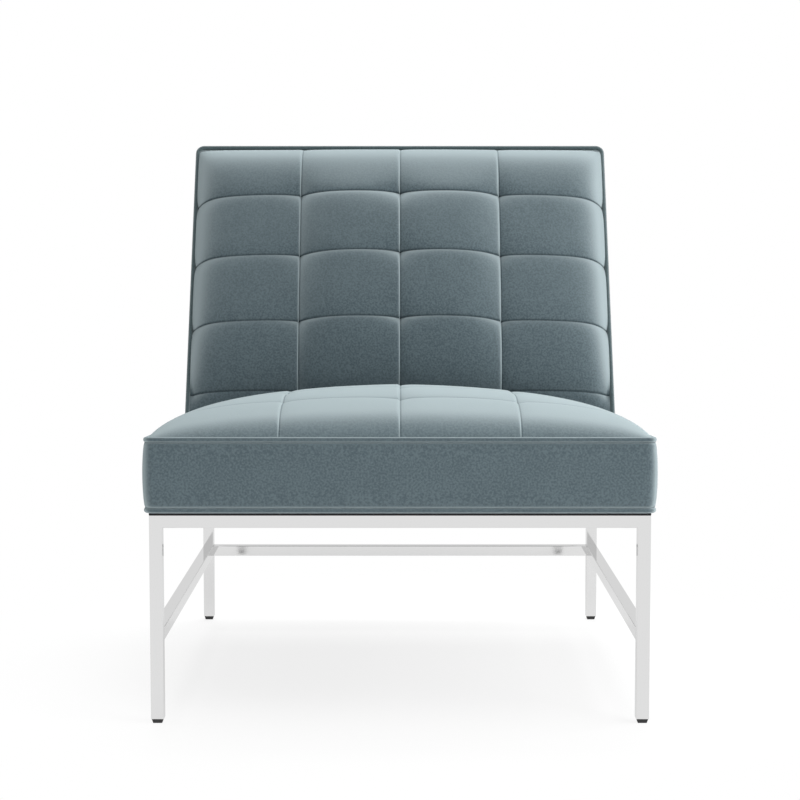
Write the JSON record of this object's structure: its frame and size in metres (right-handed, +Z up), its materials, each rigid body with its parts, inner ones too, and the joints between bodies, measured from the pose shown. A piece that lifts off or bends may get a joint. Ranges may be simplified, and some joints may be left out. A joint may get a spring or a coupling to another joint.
{
  "type": "armless lounge chair",
  "caption": "Armless upholstered lounge chair: tufted box seat and leaning tufted back with welted edges on a polished square-tube steel base.",
  "frame": {"origin": "on the floor under the middle of the chair's overall box", "axes": "+Z up, the seat's front faces -Y, +X to the viewer's right from the front"},
  "size_m": [0.751, 0.8901, 0.8758],
  "materials": {
    "polished_steel": "mirror-polished square tube",
    "velvet": "short blue-grey velvet with a pale sheen at grazing angles",
    "velvet_welt": "the same velvet over a welt cord",
    "black_felt": "matte black felt",
    "dust_cloth": "black non-woven cloth",
    "black_plastic": "black moulded plastic",
    "zinc_steel": "zinc-plated fasteners",
    "wood": "raw beech and plywood, hidden",
    "webbing": "woven elastic webbing, hidden"
  },
  "bodies": {
    "root": {"back_bolts": "zinc_steel", "back_cheek_left": "wood", "back_cheek_right": "wood", "back_core": "velvet", "back_front_welt": "velvet_welt", "back_pad": "velvet", "back_rail_lower": "wood", "back_rail_top": "wood", "back_rear_panel": "velvet", "back_rear_welt": "velvet_welt", "back_webbing": "webbing", "base_welt": "velvet_welt", "corner_blocks": "wood", "dust_cover": "dust_cloth", "felt_front": "black_felt", "felt_left": "black_felt", "felt_rear": "black_felt", "felt_right": "black_felt", "felt_washers": "black_felt", "glide_front_left": "black_plastic", "glide_front_right": "black_plastic", "glide_rear_left": "black_plastic", "glide_rear_right": "black_plastic", "leg_front_left": "polished_steel", "leg_front_right": "polished_steel", "leg_rear_left": "polished_steel", "leg_rear_right": "polished_steel", "mounting_screws": "zinc_steel", "seat_core": "velvet", "seat_pad": "velvet", "seat_rail_front": "wood", "seat_rail_left": "wood", "seat_rail_middle": "wood", "seat_rail_rear": "wood", "seat_rail_right": "wood", "seat_webbing_across": "webbing", "seat_webbing_along": "webbing", "seat_welt": "velvet_welt", "stretcher_left": "polished_steel", "stretcher_rear": "polished_steel", "stretcher_right": "polished_steel", "tab_front_left": "polished_steel", "tab_front_right": "polished_steel", "tab_rear_left": "polished_steel", "tab_rear_right": "polished_steel", "top_rail_front": "polished_steel", "top_rail_left": "polished_steel", "top_rail_rear": "polished_steel", "top_rail_right": "polished_steel"}
  },
  "joints": []
}
